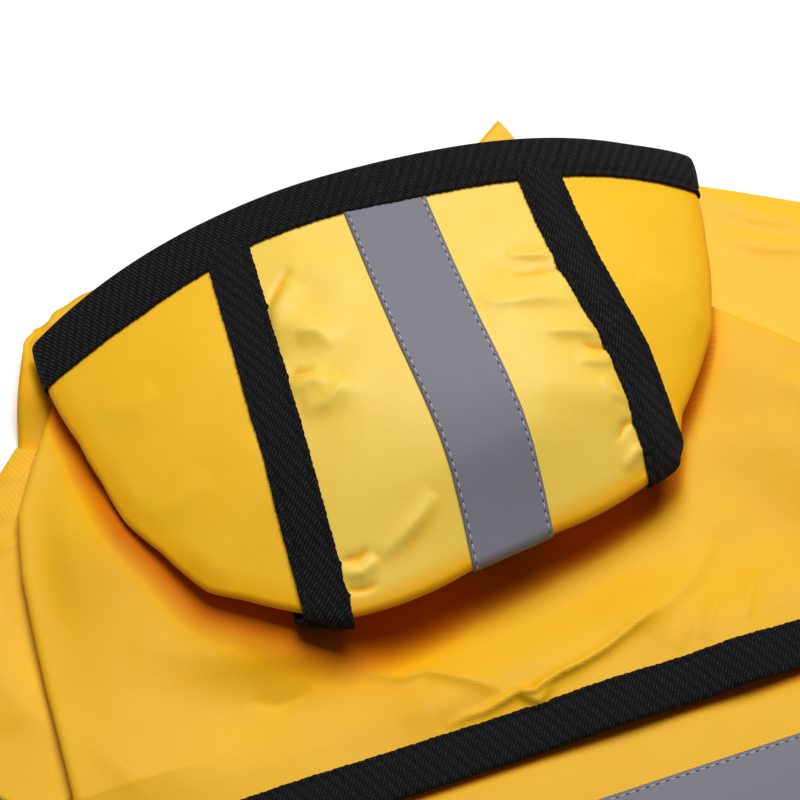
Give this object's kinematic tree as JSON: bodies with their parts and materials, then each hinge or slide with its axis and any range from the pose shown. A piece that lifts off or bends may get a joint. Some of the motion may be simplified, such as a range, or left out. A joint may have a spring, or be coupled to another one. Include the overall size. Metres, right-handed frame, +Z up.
{
  "type": "dog raincoat",
  "caption": "Dog raincoat lying back upward with its hood folded back, black tape edges, reflective strips and short sleeves; cloth walls, no joints.",
  "frame": {"origin": "on the surface the coat lies on, under the middle of its outline", "axes": "+Z up from the surface the coat lies on; +Y along the back from the tail to the neck; +X across the coat, to the right when seen from above with the neck at the top"},
  "size_m": [0.3856, 0.4168, 0.0409],
  "materials": {
    "yellow_cloth": "coated nylon twill with a soft satin sheen",
    "black_tape": "matt woven twill tape with a fine slanting rib",
    "grey_reflective": "smooth grey reflective tape, stitched down along both edges"
  },
  "bodies": {
    "root": {"back_panel": "yellow_cloth", "back_reflector": "grey_reflective", "cuff_binding_left": "black_tape", "cuff_binding_right": "black_tape", "front_left": "yellow_cloth", "front_right": "yellow_cloth", "hem_binding": "black_tape", "hood_binding": "black_tape", "hood_gusset": "yellow_cloth", "hood_reflector": "grey_reflective", "hood_side_left": "yellow_cloth", "hood_side_right": "yellow_cloth", "hood_tape_left": "black_tape", "hood_tape_right": "black_tape", "sleeve_left": "yellow_cloth", "sleeve_right": "yellow_cloth", "yoke": "yellow_cloth", "yoke_binding": "black_tape"}
  },
  "joints": []
}
